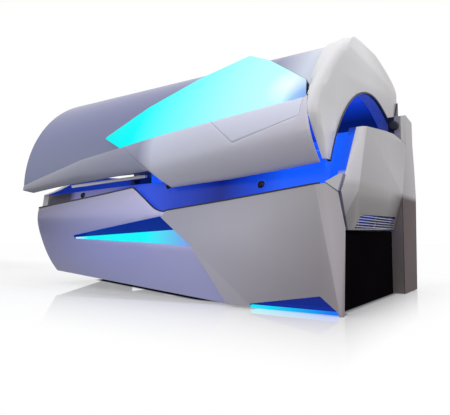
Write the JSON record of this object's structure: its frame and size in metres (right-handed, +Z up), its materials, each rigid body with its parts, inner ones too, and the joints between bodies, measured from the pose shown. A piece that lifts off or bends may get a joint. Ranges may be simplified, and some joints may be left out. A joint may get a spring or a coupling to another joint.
{
  "type": "clamshell tanning bed",
  "caption": "Clamshell tanning bed: a domed canopy of lamps with a lit side fin, hinged over a faceted base with an acrylic bench, light slots and end vents.",
  "frame": {"origin": "on the floor under the middle of the bed's bounding box", "axes": "+X along the bed towards the user's head, -Y towards the side the user climbs in from, +Z up"},
  "size_m": [2.46, 1.4002, 1.486],
  "materials": {
    "silver": "satin metallic silver lacquer on moulded shells",
    "roof": "glossy blue-grey metallic lacquer",
    "cap": "pale satin lacquer",
    "fin": "frosted translucent cyan moulding, lit from inside",
    "lightbar": "opal lamp bar",
    "acrylic": "polished blue-tinted acrylic",
    "innerblue": "glossy inner wall lit blue",
    "reflector": "bright rolled sheet",
    "lamp": "coated lamp glass",
    "holder": "moulded",
    "seal": "matt black",
    "darktrim": "satin black",
    "darkpanel": "matt black",
    "frame": "powder coat, dark grey",
    "steel": "turned and zinc plated",
    "bush": "sintered bush",
    "recess": "glossy dark tray that mirrors the light",
    "ledge": "opal cyan light cover",
    "rearmetal": "satin grey powder coat",
    "choke": "varnished core",
    "controlbox": "grey powder coat",
    "nozzle": "matt black"
  },
  "bodies": {
    "base": {"gas_spring_tubes": "darktrim", "front_panel_foot": "silver", "front_panel_head": "silver", "front_gasket": "seal", "light_recess": "recess", "light_ledge": "ledge", "corner_fairing": "silver", "sill_glow": "innerblue", "sill_foot": "silver", "head_end_cover": "silver", "head_vent_grille": "silver", "rear_tower_head": "silver", "foot_end_cover": "silver", "plinth_panel_head": "darkpanel", "plinth_panel_front": "darkpanel", "lower_light_housing": "darktrim", "lower_light_lens": "ledge", "bench_acrylic": "acrylic", "bench_reflector": "reflector", "bench_lamps": "lamp", "bench_lampholders": "holder", "base_frame": "frame", "bench_frame": "frame", "levelling_feet": "seal", "rear_panel": "rearmetal", "rear_inner_wall": "innerblue", "rear_post_foot": "frame", "hinge_bearings": "bush", "fan_housings": "darktrim", "ballasts": "choke", "control_box": "controlbox", "mains_inlet": "darktrim", "bench_end_plates": "rearmetal", "speaker_panel": "innerblue"},
    "canopy": {"canopy_roof": "roof", "canopy_head_cap": "cap", "canopy_foot_cap": "roof", "canopy_front_foot": "silver", "canopy_front_main": "silver", "canopy_badge_panel": "silver", "light_fin": "fin", "light_fin_housing": "darktrim", "canopy_acrylic": "acrylic", "canopy_reflector": "reflector", "arch_seal": "seal", "canopy_lamps": "lamp", "canopy_lampholders": "holder", "canopy_frame": "frame", "hinge_arms": "frame", "hinge_pins": "steel", "lift_levers": "steel", "canopy_rear_skirt": "innerblue", "canopy_edge_bar": "cap", "fin_light_bar": "lightbar"},
    "spring_rods": {"gas_spring_rods": "steel"},
    "rear_fan_foot": {"fan_rotor_foot": "darktrim"},
    "rear_fan_head": {"fan_rotor_head": "darktrim"},
    "nozzle_head": {"air_nozzle_head": "nozzle"},
    "nozzle_middle": {"air_nozzle_middle": "nozzle"},
    "nozzle_foot": {"air_nozzle_foot": "nozzle"}
  },
  "joints": [
    {"name": "canopy_hinge", "type": "hinge", "parent": "base", "child": "canopy", "pos_m": [0, 0.572, 0.98], "axis": [-1, 0, 0], "range_deg": [0, 35]},
    {"name": "gas_spring_slide", "type": "slide", "parent": "base", "child": "spring_rods", "axis": [0, -0.0278, 0.9996], "range_m": [0, 0.067]},
    {"name": "rear_fan_foot_spin", "type": "hinge", "parent": "base", "child": "rear_fan_foot", "pos_m": [-0.62, 0.558, 0.37], "axis": [0, 1, 0], "continuous": true},
    {"name": "rear_fan_head_spin", "type": "hinge", "parent": "base", "child": "rear_fan_head", "pos_m": [0.62, 0.558, 0.37], "axis": [0, 1, 0], "continuous": true},
    {"name": "nozzle_head_swivel", "type": "hinge", "parent": "base", "child": "nozzle_head", "pos_m": [0.795, -0.596, 0.579], "axis": [0, 0.3102, 0.9507], "range_deg": [-20, 20]},
    {"name": "nozzle_middle_swivel", "type": "hinge", "parent": "base", "child": "nozzle_middle", "pos_m": [0.203, -0.577, 0.612], "axis": [0, 0.3102, 0.9507], "range_deg": [-20, 20]},
    {"name": "nozzle_foot_swivel", "type": "hinge", "parent": "base", "child": "nozzle_foot", "pos_m": [-0.593, -0.513, 0.606], "axis": [0, 0.3102, 0.9507], "range_deg": [-20, 20]}
  ],
  "couplings": [
    {"joint": "gas_spring_slide", "follows": "canopy_hinge", "m_per_rad": 0.1085}
  ]
}
